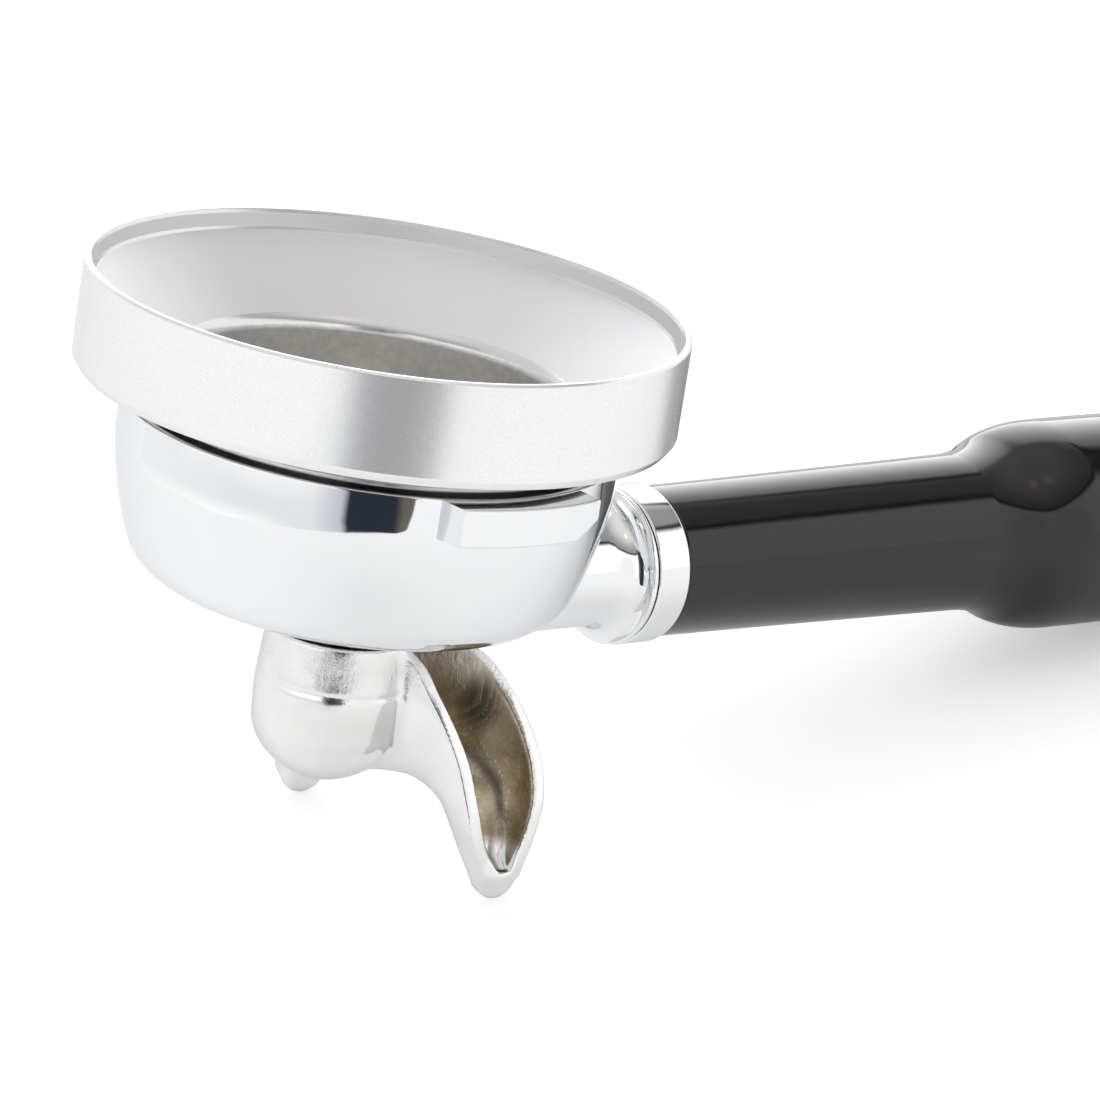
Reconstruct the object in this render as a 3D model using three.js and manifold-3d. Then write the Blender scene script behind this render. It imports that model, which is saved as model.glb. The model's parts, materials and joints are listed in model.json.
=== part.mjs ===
// Commercial 58 mm portafilter with a double spout and a dosing funnel, lying on a table.
// Millimetres, +Z up. The parts are drawn in the basket's own frame: origin at the centre of the
// body's rim, +Z up the basket axis, +X towards the handle. The whole assembly is then tilted
// until the two spout tips and the end of the handle touch the table at z = 0.
import * as THREE from 'three';
import { mergeVertices } from 'three/addons/utils/BufferGeometryUtils.js';
import Module from 'manifold-3d';

const wasm = await Module();
wasm.setup();

// ---- driving dimensions -------------------------------------------------------------------
const GAP = 0.3; // between neighbouring pieces that touch
const ROUND = 48; // facets round the large turned parts
const ROUND_SMALL = 32; // facets round the handle and the spout

const BODY_RADIUS = 37; // outside of the cup at its rim
const BODY_BORE = 31.2;
const BODY_FLOOR = -24.9; // inside floor of the cup
const BODY_BOTTOM = -27.2; // outside of the floor
const SPRING_GROOVE = { radius: 32.6, z: -5.8, height: 2 };
const OUTLET_BORE = 5;
const NIPPLE_RADIUS = 8; // 3/8 inch pipe thread, drawn plain
const NIPPLE_END = -38.5;
const BOSS = { radius: 11.2, z: -28.6 };

const LUG_RADIUS = 41.3;
const LUG_HEIGHT = 5.9;
const LUG_START_DEG = -113.3; // foot of the slanted end, on the near side
const LUG_SLANT_DEG = 4.2;
const LUG_END_DEG = -72;
const LUG_RAMP_DEG = 7; // length of the lead-in ramp under the other end

const HANDLE_Z = -26.3; // height of the handle axis
const NECK_RADIUS = 8.9;
const NECK_END = 51.2;
const FLARE_RADIUS = 12.1;
const NECK_BORE = 4.4;
const NECK_BORE_START = 33.5;
const COLLAR = { radius: 12.2, length: 6, bore: 5 };
const GRIP_START = NECK_END + COLLAR.length + 2 * GAP;
const GRIP_END = 176;
const GRIP_NECK_RADIUS = 11.55;
const GRIP_THICK_RADIUS = 16.7;
const GRIP_BORE = 4.6;
const GRIP_POCKET = { radius: 8.9, depth: 26 };

const BOLT = { radius: 4, headRadius: 6.5, headLength: 8, socketRadius: 3.4, socketDepth: 5 };
const FLAT_WASHER = { outer: 8.4, inner: 4.3, thickness: 1.6 };
const SPRING_WASHER = { outer: 7.3, inner: 4.3, thickness: 2, splitDeg: 14 };

const BASKET = { inner: 29.25, wall: 0.65, lipRadius: 35, lipThickness: 0.9, depth: 23.3 };
const SIEVE = { holeRadius: 0.8, pitch: 7.4, fieldRadius: 22.5 };
const RETAINER = { wire: 0.65, ring: 31.4, gapDeg: 24 };

const FUNNEL = {
  radius: 44.8, top: 19.6, skirt: 3.1, seat: BASKET.lipThickness + 2 * GAP,
  step: 16.7, stepRadius: 43, throat: 28.2, throatTop: 6.9, spigotWall: 0.7, spigotEnd: -3,
};

const SPOUT_TOP = -30.8;
const SPOUT_COLLAR = { radius: 10.8, lowerRadius: 11.3, end: -39.2 };
const SPOUT_THREAD = { radius: 8.35, end: -39.6 };
const SPOUT_BOWL = { radius: 11.4, z: -46, depth: 9.5, fullness: 0.6 };
const SPOUT_CHAMBER = { radius: 8.4, bottomRadius: 5.5, end: -49 };
const SPOUT_WALL = 2.2;
const SEAL = { inner: 8.5, outer: 10.2 };

// ---- solids -------------------------------------------------------------------------------

// A closed three.js geometry as a manifold solid.
function solid(geometry) {
  const bare = geometry.clone();
  bare.deleteAttribute('normal');
  bare.deleteAttribute('uv');
  const merged = mergeVertices(bare, 1e-4);
  const corners = merged.index.array;
  const kept = [];
  for (let i = 0; i < corners.length; i += 3) {
    const [a, b, c] = corners.slice(i, i + 3);
    if (a !== b && b !== c && c !== a) kept.push(a, b, c);
  }
  return new wasm.Manifold(new wasm.Mesh({
    numProp: 3,
    vertProperties: new Float32Array(merged.attributes.position.array),
    triVerts: new Uint32Array(kept),
  }));
}

function toGeometry(manifold) {
  const mesh = manifold.getMesh();
  const geometry = new THREE.BufferGeometry();
  geometry.setAttribute('position', new THREE.BufferAttribute(mesh.vertProperties, 3));
  geometry.setIndex(new THREE.BufferAttribute(mesh.triVerts, 1));
  geometry.computeVertexNormals();
  return geometry;
}

// Turns a profile of [radius, height] points about +Z. The points run anticlockwise in the
// radius-height plane. A profile that doesn't start and end on the axis is closed on itself.
function turned(profile, facets = ROUND) {
  const points = profile.map(([r, z]) => new THREE.Vector2(r, z));
  const onAxis = points[0].x === 0 && points.at(-1).x === 0;
  if (!onAxis) points.push(points[0].clone());
  return solid(new THREE.LatheGeometry(points, facets).rotateX(Math.PI / 2));
}

// The same about the handle axis: the points are [radius, distance along +X].
function turnedOnHandle(profile, facets = ROUND_SMALL) {
  return turned(profile, facets).rotate([0, 90, 0]).translate([0, 0, HANDLE_Z]);
}

// Points of an arc in a profile, from one angle to another, in degrees.
function arc(centreR, centreZ, radius, fromDeg, toDeg, steps) {
  const points = [];
  for (let i = 0; i <= steps; i += 1) {
    const angle = THREE.MathUtils.degToRad(fromDeg + ((toDeg - fromDeg) * i) / steps);
    points.push([centreR + radius * Math.cos(angle), centreZ + radius * Math.sin(angle)]);
  }
  return points;
}

// Points of a quadratic curve in a profile.
function bend(start, control, end, steps) {
  const curve = new THREE.QuadraticBezierCurve(
    new THREE.Vector2(...start), new THREE.Vector2(...control), new THREE.Vector2(...end));
  return curve.getPoints(steps).map((p) => [p.x, p.y]);
}

// Skins a row of loops, each with the same number of points, and closes both ends.
function loft(loops) {
  const count = loops[0].length;
  const positions = [];
  const centre = (loop) => loop.reduce((sum, p) => sum.add(p), new THREE.Vector3())
    .multiplyScalar(1 / count);
  for (const loop of loops) {
    for (const p of loop) positions.push(p.x, p.y, p.z);
  }
  const index = [];
  for (let row = 0; row + 1 < loops.length; row += 1) {
    for (let i = 0; i < count; i += 1) {
      const a = row * count + i;
      const b = row * count + ((i + 1) % count);
      index.push(a, b, a + count, b, b + count, a + count);
    }
  }
  const first = loops.length * count;
  const lastRow = (loops.length - 1) * count;
  for (const loop of [loops[0], loops.at(-1)]) positions.push(...centre(loop).toArray());
  for (let i = 0; i < count; i += 1) {
    const next = (i + 1) % count;
    index.push(first, next, i);
    index.push(first + 1, lastRow + i, lastRow + next);
  }
  const geometry = new THREE.BufferGeometry();
  geometry.setAttribute('position', new THREE.Float32BufferAttribute(positions, 3));
  geometry.setIndex(index);
  return solid(geometry);
}

// ---- portafilter body ---------------------------------------------------------------------

function cupOutside() {
  return turned([
    [0, NIPPLE_END],
    [NIPPLE_RADIUS - 0.6, NIPPLE_END],
    [NIPPLE_RADIUS, NIPPLE_END + 0.6],
    [NIPPLE_RADIUS, BOSS.z],
    [BOSS.radius, BOSS.z],
    [BOSS.radius + 1.2, BODY_BOTTOM],
    ...bend([25.2, BODY_BOTTOM], [31.6, -26.8], [33.5, -21], 6),
    ...bend([33.9, -20], [36.6, -12], [BODY_RADIUS, -5], 3),
    [BODY_RADIUS, -0.4],
    [BODY_RADIUS - 0.4, 0],
    [0, 0],
  ]);
}

function cupInside() {
  const groove = SPRING_GROOVE;
  return turned([
    [0, NIPPLE_END - 1],
    [OUTLET_BORE, NIPPLE_END - 1],
    [OUTLET_BORE, BODY_FLOOR - 0.6],
    ...bend([24, BODY_FLOOR], [30.4, BODY_FLOOR + 0.4], [30.8, -18.5], 4),
    [BODY_BORE, groove.z - groove.height / 2],
    [groove.radius, groove.z - groove.height / 2],
    [groove.radius, groove.z + groove.height / 2],
    [BODY_BORE, groove.z + groove.height / 2],
    [BODY_BORE, -0.6],
    [BODY_BORE + 0.6, 0],
    [BODY_BORE + 0.6, 1],
    [0, 1],
  ]);
}

// One bayonet lug: a ring sector with a slanted start and a ramp cut under its other end.
function lug() {
  const inner = BODY_RADIUS - 1.5;
  const rad = THREE.MathUtils.degToRad;
  const at = (radius, deg) => [radius * Math.cos(rad(deg)), radius * Math.sin(rad(deg))];
  const start = LUG_START_DEG + LUG_SLANT_DEG;
  const end = LUG_END_DEG - LUG_SLANT_DEG / 2;
  const plan = new THREE.Shape();
  plan.moveTo(...at(inner, LUG_START_DEG));
  plan.lineTo(...at(BODY_RADIUS, LUG_START_DEG));
  plan.lineTo(...at(LUG_RADIUS, start));
  plan.absarc(0, 0, LUG_RADIUS, rad(start), rad(end), false);
  plan.lineTo(...at(BODY_RADIUS, LUG_END_DEG));
  plan.lineTo(...at(inner, LUG_END_DEG));
  plan.absarc(0, 0, inner, rad(LUG_END_DEG), rad(LUG_START_DEG), true);
  const block = new THREE.ExtrudeGeometry(plan, {
    depth: LUG_HEIGHT, bevelEnabled: false, curveSegments: 8,
  });
  block.translate(0, 0, -LUG_HEIGHT);
  const rampLength = LUG_RADIUS * rad(LUG_RAMP_DEG);
  const ramp = new THREE.Shape();
  ramp.moveTo(-rampLength, -LUG_HEIGHT - 1);
  ramp.lineTo(rampLength * 2, -LUG_HEIGHT - 1);
  ramp.lineTo(rampLength * 2, -1.4);
  ramp.lineTo(0, -1.4 - LUG_HEIGHT * 0.35);
  ramp.lineTo(-rampLength, -LUG_HEIGHT);
  const wedge = new THREE.ExtrudeGeometry(ramp, { depth: 10, bevelEnabled: false });
  wedge.rotateX(Math.PI / 2);
  wedge.translate(0, -BODY_RADIUS + 5, 0);
  wedge.rotateZ(rad(LUG_END_DEG + 90));
  return solid(block).subtract(solid(wedge).intersect(turned([
    [BODY_RADIUS, -LUG_HEIGHT - 2], [LUG_RADIUS + 5, -LUG_HEIGHT - 2],
    [LUG_RADIUS + 5, 0], [BODY_RADIUS, 0],
  ])));
}

function neck() {
  return turnedOnHandle([
    [0, 25.5],
    ...bend([4, 25.8], [NECK_RADIUS, 27], [NECK_RADIUS, 35], 5),
    [NECK_RADIUS, 46],
    ...bend([NECK_RADIUS + 0.1, 46.6], [NECK_RADIUS + 0.6, 49.4], [FLARE_RADIUS - 0.3, 50.6], 4),
    [FLARE_RADIUS, 50.9],
    [FLARE_RADIUS, NECK_END],
    [0, NECK_END],
  ]);
}

function neckBore() {
  return turnedOnHandle([
    [0, NECK_BORE_START], [NECK_BORE, NECK_BORE_START + 1.5], [NECK_BORE, NECK_END + 1],
    [0, NECK_END + 1],
  ], 24);
}

function portafilterBody() {
  const near = lug();
  return cupOutside()
    .add(near)
    .add(near.rotate([0, 0, 180]))
    .add(neck())
    .subtract(cupInside())
    .subtract(neckBore());
}

// ---- filter basket and the wire that holds it ---------------------------------------------

function filterBasket() {
  const outer = BASKET.inner + BASKET.wall;
  const lip = GAP + BASKET.lipThickness;
  const bottom = -BASKET.depth;
  const corner = 3.6;
  const shell = turned([
    [0, bottom],
    ...arc(outer - corner, bottom + corner, corner, -90, 0, 4),
    [outer, GAP],
    [BASKET.lipRadius - 0.2, GAP],
    [BASKET.lipRadius, GAP + 0.3],
    [BASKET.lipRadius, lip - 0.3],
    [BASKET.lipRadius - 0.3, lip],
    [BASKET.inner + 0.8, lip],
    [BASKET.inner, lip - 0.8],
    ...arc(outer - corner, bottom + corner, corner - BASKET.wall, 0, -90, 4),
    [0, bottom + BASKET.wall],
  ]);
  const holes = [];
  const rows = Math.ceil(SIEVE.fieldRadius / SIEVE.pitch) + 2;
  for (let i = -rows; i <= rows; i += 1) {
    for (let j = -rows; j <= rows; j += 1) {
      const x = (i + j / 2) * SIEVE.pitch;
      const y = j * SIEVE.pitch * Math.sqrt(0.75);
      if (Math.hypot(x, y) > SIEVE.fieldRadius) continue;
      const pin = new THREE.CylinderGeometry(SIEVE.holeRadius, SIEVE.holeRadius, 3, 5);
      pin.rotateX(Math.PI / 2);
      pin.translate(x, y, bottom + BASKET.wall / 2);
      holes.push(solid(pin));
    }
  }
  return shell.subtract(wasm.Manifold.union(holes));
}

function basketRetainer() {
  const rad = THREE.MathUtils.degToRad;
  class RetainerArc extends THREE.Curve {
    getPoint(t, target = new THREE.Vector3()) {
      const angle = rad(RETAINER.gapDeg / 2 + t * (360 - RETAINER.gapDeg));
      return target.set(
        RETAINER.ring * Math.cos(angle), RETAINER.ring * Math.sin(angle), SPRING_GROOVE.z);
    }
  }
  const section = new THREE.Shape();
  section.absarc(0, 0, RETAINER.wire, 0, Math.PI * 2, false);
  return solid(new THREE.ExtrudeGeometry(section, {
    steps: 40, curveSegments: 3, bevelEnabled: false, extrudePath: new RetainerArc(),
  }));
}

// ---- dosing funnel ------------------------------------------------------------------------

function dosingFunnel() {
  const f = FUNNEL;
  const spigot = f.throat + f.spigotWall;
  return turned([
    [f.throat, f.spigotEnd],
    [spigot - 0.3, f.spigotEnd],
    [spigot, f.spigotEnd + 0.4],
    [spigot, f.seat],
    [BASKET.lipRadius + 0.9, f.seat],
    [BASKET.lipRadius + 1.4, f.skirt],
    [f.radius - 3, f.skirt],
    [f.radius - 0.9, f.skirt + 0.7],
    [f.radius, f.skirt + 2],
    [f.radius, f.top - 0.4],
    [f.radius - 0.4, f.top],
    [f.radius - 0.9, f.top],
    [f.radius - 1.3, f.top - 0.5],
    [f.stepRadius, f.step],
    ...bend([f.throat + 1.6, f.throatTop + 0.9], [f.throat, f.throatTop], [f.throat, f.throatTop - 1.6], 3),
  ]);
}

// ---- double spout -------------------------------------------------------------------------

// One leg of the spout, on the near side. At each station the rim's middle, the back of the
// shell, the floor of the channel and the half width of the shell.
const LEG_STATIONS = [
  { rim: [5, -2, -32.2], back: [3, 0.5, -52.5], floor: [1.5, -0.5, -47], half: 7 },
  { rim: [11.7, -10, -33.2], back: [8.2, -5, -53.2], floor: [8.5, -5.5, -48.5], half: 7.2 },
  { rim: [15, -15, -38.8], back: [12.6, -10, -53.3], floor: [12.8, -10.6, -49.4], half: 8.1 },
  { rim: [17, -20, -46], back: [15.6, -14.4, -55.7], floor: [16, -15.6, -52.4], half: 8.1 },
  { rim: [17.5, -23, -52.8], back: [16.7, -17, -59.2], floor: [17, -18.6, -56.8], half: 7.6 },
  { rim: [17, -24.6, -59], back: [16.8, -19.6, -63.2], floor: [16.7, -21.8, -61], half: 5.9 },
  { rim: [16.8, -25.4, -64], back: [16.8, -21.6, -66.4], floor: [16.6, -25, -63.2], half: 3.6 },
];
const LEG_ROWS = 12;
const LEG_SIDES = 14;
const LEG_STEADY_ROW = 10; // below it the channel's cutter keeps this row's direction
const LEG_TIP = { centre: [16.9, -23.5, -64.3], radii: [3.5, 2.7, 3.6] };

// The stations' values, smoothed along the leg.
function legStations(count) {
  const path = (key) => new THREE.CatmullRomCurve3(
    LEG_STATIONS.map((s) => new THREE.Vector3(...s[key])));
  const half = new THREE.CatmullRomCurve3(
    LEG_STATIONS.map((s) => new THREE.Vector3(s.half, 0, 0)));
  const curves = { rim: path('rim'), back: path('back'), floor: path('floor') };
  const stations = [];
  for (let i = 0; i <= count; i += 1) {
    const t = i / count;
    stations.push({
      rim: curves.rim.getPoint(t),
      back: curves.back.getPoint(t),
      floor: curves.floor.getPoint(t),
      half: half.getPoint(t).x,
    });
  }
  return stations;
}

// A half round from one rim round the deepest point to the other rim.
function halfRound(rim, deepest, half, steps, fullness) {
  const loop = [];
  const depth = deepest.clone().sub(rim);
  for (let i = 0; i <= steps; i += 1) {
    const angle = (Math.PI * i) / steps;
    const across = -Math.sign(Math.cos(angle)) * Math.abs(Math.cos(angle)) ** fullness * half;
    const down = Math.sin(angle) ** fullness;
    const p = rim.clone().addScaledVector(depth, down);
    p.x += across;
    loop.push(p);
  }
  return loop;
}

function spoutLeg() {
  const shell = legStations(LEG_ROWS).map((s) => halfRound(s.rim, s.back, s.half, LEG_SIDES, 0.8));
  const tip = new THREE.SphereGeometry(1, 14, 10)
    .scale(...LEG_TIP.radii)
    .translate(...LEG_TIP.centre);
  return loft(shell).add(solid(tip));
}

// The cutter for the channel. It stands out of the rim, always the same way near the tip.
function spoutChannel() {
  const lift = 3;
  const leastHalf = 1;
  const stations = legStations(LEG_ROWS);
  const loops = stations.map((s, i) => {
    const facing = stations[Math.min(i, LEG_STEADY_ROW)];
    const out = facing.rim.clone().sub(facing.floor).normalize();
    const rim = s.rim.clone().addScaledVector(out, lift);
    return halfRound(rim, s.floor, Math.max(s.half - SPOUT_WALL, leastHalf), LEG_SIDES, 0.85);
  });
  return loft(loops);
}

// The middle of the spout: a round bowl below a raised collar band.
function spoutPot() {
  const { radius, z, depth, fullness } = SPOUT_BOWL;
  const steps = 8;
  const bowl = [];
  for (let i = 0; i <= steps; i += 1) {
    const down = Math.cos((i / steps) * (Math.PI / 2));
    bowl.push([radius * (1 - down * down) ** fullness, z - depth * down]);
  }
  bowl[0][0] = 0;
  return turned([
    ...bowl,
    [radius, SPOUT_COLLAR.end - 0.5],
    [SPOUT_COLLAR.lowerRadius, SPOUT_COLLAR.end],
    [SPOUT_COLLAR.radius, SPOUT_TOP - 0.4],
    [SPOUT_COLLAR.radius - 0.4, SPOUT_TOP],
    [0, SPOUT_TOP],
  ], ROUND_SMALL);
}

function doubleSpout() {
  const chamber = SPOUT_CHAMBER;
  const inside = turned([
    [0, chamber.end - 1],
    [chamber.bottomRadius, chamber.end],
    [chamber.radius, chamber.end + 4],
    [chamber.radius, SPOUT_THREAD.end],
    [SPOUT_THREAD.radius, SPOUT_THREAD.end],
    [SPOUT_THREAD.radius, SPOUT_TOP + 1],
    [0, SPOUT_TOP + 1],
  ], ROUND_SMALL);
  const leg = spoutLeg();
  const channel = spoutChannel();
  const aboveLegs = SPOUT_TOP - 0.8;
  const above = turned([[0, aboveLegs], [40, aboveLegs], [40, 0], [0, 0]], 24);
  return leg.add(leg.mirror([0, 1, 0]))
    .subtract(above)
    .add(spoutPot())
    .subtract(channel)
    .subtract(channel.mirror([0, 1, 0]))
    .subtract(inside);
}

function spoutSeal() {
  return turned([
    [SEAL.inner, SPOUT_TOP + GAP], [SEAL.outer, SPOUT_TOP + GAP],
    [SEAL.outer, BOSS.z - GAP], [SEAL.inner, BOSS.z - GAP],
  ], ROUND_SMALL);
}

// ---- handle -------------------------------------------------------------------------------

function handleCollar() {
  const from = NECK_END + GAP;
  const to = from + COLLAR.length;
  return turnedOnHandle([
    [COLLAR.bore, from], [COLLAR.radius - 0.3, from], [COLLAR.radius, from + 0.3],
    [COLLAR.radius, to - 0.3], [COLLAR.radius - 0.3, to], [COLLAR.bore, to],
  ]);
}

function handleGrip() {
  const pocketFloor = GRIP_END - GRIP_POCKET.depth;
  return turnedOnHandle([
    [GRIP_BORE, GRIP_START],
    [GRIP_NECK_RADIUS - 0.7, GRIP_START],
    [GRIP_NECK_RADIUS, GRIP_START + 0.7],
    [12.4, 122.5],
    ...bend([12.5, 124.5], [12.9, 128.5], [14.6, 131.2], 3),
    ...bend([14.9, 131.7], [16.6, 135.4], [GRIP_THICK_RADIUS, 141.5], 3),
    [GRIP_THICK_RADIUS, 158],
    [16.2, 167.5],
    ...arc(9.8, 169.7, 6.3, 8, 90, 5),
    [GRIP_POCKET.radius, GRIP_END],
    [GRIP_POCKET.radius, pocketFloor],
    [GRIP_BORE, pocketFloor],
  ]);
}

function flatWasher(start) {
  const w = FLAT_WASHER;
  return turnedOnHandle([
    [w.inner, start], [w.outer, start], [w.outer, start + w.thickness], [w.inner, start + w.thickness],
  ], 28);
}

function springWasher(start) {
  const w = SPRING_WASHER;
  const split = THREE.MathUtils.degToRad(w.splitDeg);
  const plan = new THREE.Shape();
  plan.absarc(0, 0, w.outer, split / 2, Math.PI * 2 - split / 2, false);
  plan.absarc(0, 0, w.inner, Math.PI * 2 - split / 2, split / 2, true);
  const ring = new THREE.ExtrudeGeometry(plan, {
    depth: w.thickness, bevelEnabled: false, curveSegments: 26,
  });
  return solid(ring).translate([0, 0, start]).rotate([0, 90, 0]).translate([0, 0, HANDLE_Z]);
}

function handleBolt(headStart) {
  const b = BOLT;
  const end = headStart + b.headLength;
  return turnedOnHandle([
    [0, NECK_BORE_START + 2.5],
    [b.radius - 0.8, NECK_BORE_START + 2.5],
    [b.radius, NECK_BORE_START + 3.3],
    [b.radius, headStart],
    [b.headRadius, headStart],
    [b.headRadius, end - 0.6],
    [b.headRadius - 0.6, end],
    [b.socketRadius, end],
    [b.socketRadius, end - b.socketDepth],
    [0, end - b.socketDepth],
  ], 24);
}

function endPlug() {
  const rim = GRIP_POCKET.radius - GAP;
  const inner = GRIP_END - 6.5;
  return turnedOnHandle([
    [0, inner], [rim - 1.2, inner], [rim, inner + 1.5], [rim, GRIP_END - 0.9],
    ...bend([rim - 0.3, GRIP_END - 0.2], [rim * 0.6, GRIP_END + 0.7], [0, GRIP_END + 0.7], 3),
  ], 28);
}

// ---- assembly -----------------------------------------------------------------------------

const FINISH = {
  chrome: { color: 0xe8eaec, metalness: 1, roughness: 0.06 },
  nickel: { color: 0xd9d6ce, metalness: 1, roughness: 0.2 },
  satinAluminium: { color: 0xe2e2e3, metalness: 1, roughness: 0.38 },
  stainless: { color: 0xb9b6b0, metalness: 1, roughness: 0.3 },
  springSteel: { color: 0x8f9093, metalness: 1, roughness: 0.35 },
  blackPlastic: { color: 0x0b0b0c, metalness: 0, roughness: 0.12 },
  sealRubber: { color: 0x1d1c1b, metalness: 0, roughness: 0.6 },
};

function piece(name, manifold, finish) {
  const mesh = new THREE.Mesh(toGeometry(manifold), new THREE.MeshStandardMaterial(FINISH[finish]));
  mesh.name = name;
  return mesh;
}

const washerStart = GRIP_END - GRIP_POCKET.depth + GAP;
const springWasherStart = washerStart + FLAT_WASHER.thickness + GAP;
const boltHeadStart = springWasherStart + SPRING_WASHER.thickness + GAP;

const spout = piece('double_spout', doubleSpout(), 'nickel');
const grip = piece('handle_grip', handleGrip(), 'blackPlastic');

const assembly = new THREE.Group();
assembly.add(
  piece('portafilter_body', portafilterBody(), 'chrome'),
  piece('basket_retaining_spring', basketRetainer(), 'springSteel'),
  piece('filter_basket', filterBasket(), 'stainless'),
  piece('dosing_funnel', dosingFunnel(), 'satinAluminium'),
  spout,
  piece('spout_seal', spoutSeal(), 'sealRubber'),
  piece('handle_collar', handleCollar(), 'chrome'),
  grip,
  piece('handle_bolt', handleBolt(boltHeadStart), 'springSteel'),
  piece('flat_washer', flatWasher(washerStart), 'springSteel'),
  piece('spring_washer', springWasher(springWasherStart), 'springSteel'),
  piece('end_plug', endPlug(), 'blackPlastic'),
);

// Lowest point of a mesh once the assembly is tilted, handle end down, by the given angle.
function lowest(mesh, tilt) {
  const p = mesh.geometry.attributes.position;
  let low = Infinity;
  for (let i = 0; i < p.count; i += 1) {
    low = Math.min(low, p.getZ(i) * Math.cos(tilt) - p.getX(i) * Math.sin(tilt));
  }
  return low;
}

// The tilt at which the spout tips and the handle end are equally low.
function restingTilt() {
  let least = 0;
  let most = THREE.MathUtils.degToRad(20);
  for (let i = 0; i < 40; i += 1) {
    const middle = (least + most) / 2;
    if (lowest(spout, middle) < lowest(grip, middle)) least = middle;
    else most = middle;
  }
  return (least + most) / 2;
}

const tilt = restingTilt();
assembly.rotation.y = tilt;
assembly.updateMatrixWorld(true);
const bounds = new THREE.Box3().setFromObject(assembly, true);
const centre = bounds.getCenter(new THREE.Vector3());
assembly.position.set(-centre.x, -centre.y, -bounds.min.z);

const portafilter = new THREE.Group();
portafilter.add(assembly);

export default portafilter;
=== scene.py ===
import json
import math

import bmesh
import bpy
import numpy as np
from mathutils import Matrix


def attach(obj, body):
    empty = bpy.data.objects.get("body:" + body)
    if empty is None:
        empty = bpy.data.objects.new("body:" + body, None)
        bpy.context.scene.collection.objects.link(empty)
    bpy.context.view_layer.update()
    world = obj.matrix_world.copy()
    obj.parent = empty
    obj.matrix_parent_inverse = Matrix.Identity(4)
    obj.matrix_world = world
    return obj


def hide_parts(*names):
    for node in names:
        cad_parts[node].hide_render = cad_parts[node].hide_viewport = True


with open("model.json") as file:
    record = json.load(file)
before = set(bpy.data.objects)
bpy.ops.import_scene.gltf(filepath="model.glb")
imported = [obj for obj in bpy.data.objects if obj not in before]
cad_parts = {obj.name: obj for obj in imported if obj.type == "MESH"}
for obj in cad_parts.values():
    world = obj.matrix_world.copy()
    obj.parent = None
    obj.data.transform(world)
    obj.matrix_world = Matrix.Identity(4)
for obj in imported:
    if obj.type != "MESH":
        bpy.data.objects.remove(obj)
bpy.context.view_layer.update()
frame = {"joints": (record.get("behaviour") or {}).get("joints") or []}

import openvdb
from mathutils import Matrix, Vector, geometry

# A portafilter with a filter basket, a double spout and a dosing funnel, resting on a table.
# Shapes are drawn in millimetres in the basket's own frame: origin at the middle of the body's
# rim, Z up the basket axis, X towards the handle. place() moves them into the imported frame.

MM = 0.001
GAP = 0.3
ROUND = 256  # facets round the large turned pieces
ROUND_HANDLE = 160
SPOUT_JOINT_DEPTH = 35 * MM  # of the spout joint's point below the rim

# ---- driving dimensions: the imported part's, but for a lower SPOUT_TOP ----

BODY_RADIUS = 37
BODY_BORE = 31.2
BODY_FLOOR, FLOOR_RADIUS, CORNER_Z = -24.9, 24, -18.5  # the cup's floor and the round above it
BODY_BOTTOM = -27.2
GROOVE_RADIUS, GROOVE_Z, GROOVE_HEIGHT = 32.6, -5.8, 2
OUTLET_BORE = 5
NIPPLE_RADIUS, NIPPLE_END = 8, -38.5
BOSS_RADIUS, BOSS_Z = 11.2, -28.6

LUG_RADIUS, LUG_HEIGHT, LUG_TOP = 41.3, 5.9, -0.12  # the top a hair below the rim
LUG_START, LUG_END, LUG_SLANT, LUG_RAMP = -113.3, -72, 4.2, 7  # degrees round the rim
LUG_RISE = 0.42  # of the lug's height that the ramp takes away

HANDLE_Z = -26.3
NECK_START, NECK_END, NECK_RADIUS, FLARE_RADIUS = 25.5, 51.2, 8.9, 12.1
NECK_BORE, NECK_BORE_START = 4.4, 33.5
COLLAR_RADIUS, COLLAR_LENGTH, COLLAR_BORE = 12.2, 6, 5
GRIP_START = NECK_END + COLLAR_LENGTH + 2 * GAP
GRIP_END, GRIP_BORE = 175.94, 4.6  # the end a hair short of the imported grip
POCKET_RADIUS, POCKET_FLOOR = 8.9, 150

BOLT_RADIUS, BOLT_PITCH, BOLT_THREAD_LENGTH, BOLT_THREAD_DEPTH = 4, 1.25, 20, 0.35
HEAD_RADIUS, HEAD_LENGTH, SOCKET_RADIUS, SOCKET_DEPTH = 6.5, 8, 3.4, 5
WASHER_HOLE, WASHER_RADIUS, WASHER_THICKNESS = 4.3, 8.4, 1.6
LOCK_RADIUS, LOCK_THICKNESS, LOCK_SPLIT = 7.3, 2, 7  # half the split in degrees

BASKET_INNER, BASKET_WALL, BASKET_DEPTH, BASKET_CORNER = 29.25, 0.65, 23.3, 3.6
LIP_RADIUS, LIP_TOP = 35, 1.2
HOLE_RADIUS, HOLE_PITCH, HOLE_FIELD, HOLE_SIDES = 0.34, 1.9, 24, 8
SPRING_RADIUS, SPRING_WIRE, SPRING_OPENING = 31.4, 0.65, 12  # half the opening in degrees

FUNNEL_RADIUS, FUNNEL_TOP, FUNNEL_SEAT, SKIRT_Z = 44.8, 19.6, 1.5, 3.1
STEP_RADIUS, STEP_Z = 43, 16.7
THROAT, THROAT_TOP, SPIGOT_END, SPIGOT_WALL = 28.2, 6.9, -3, 0.7

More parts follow.
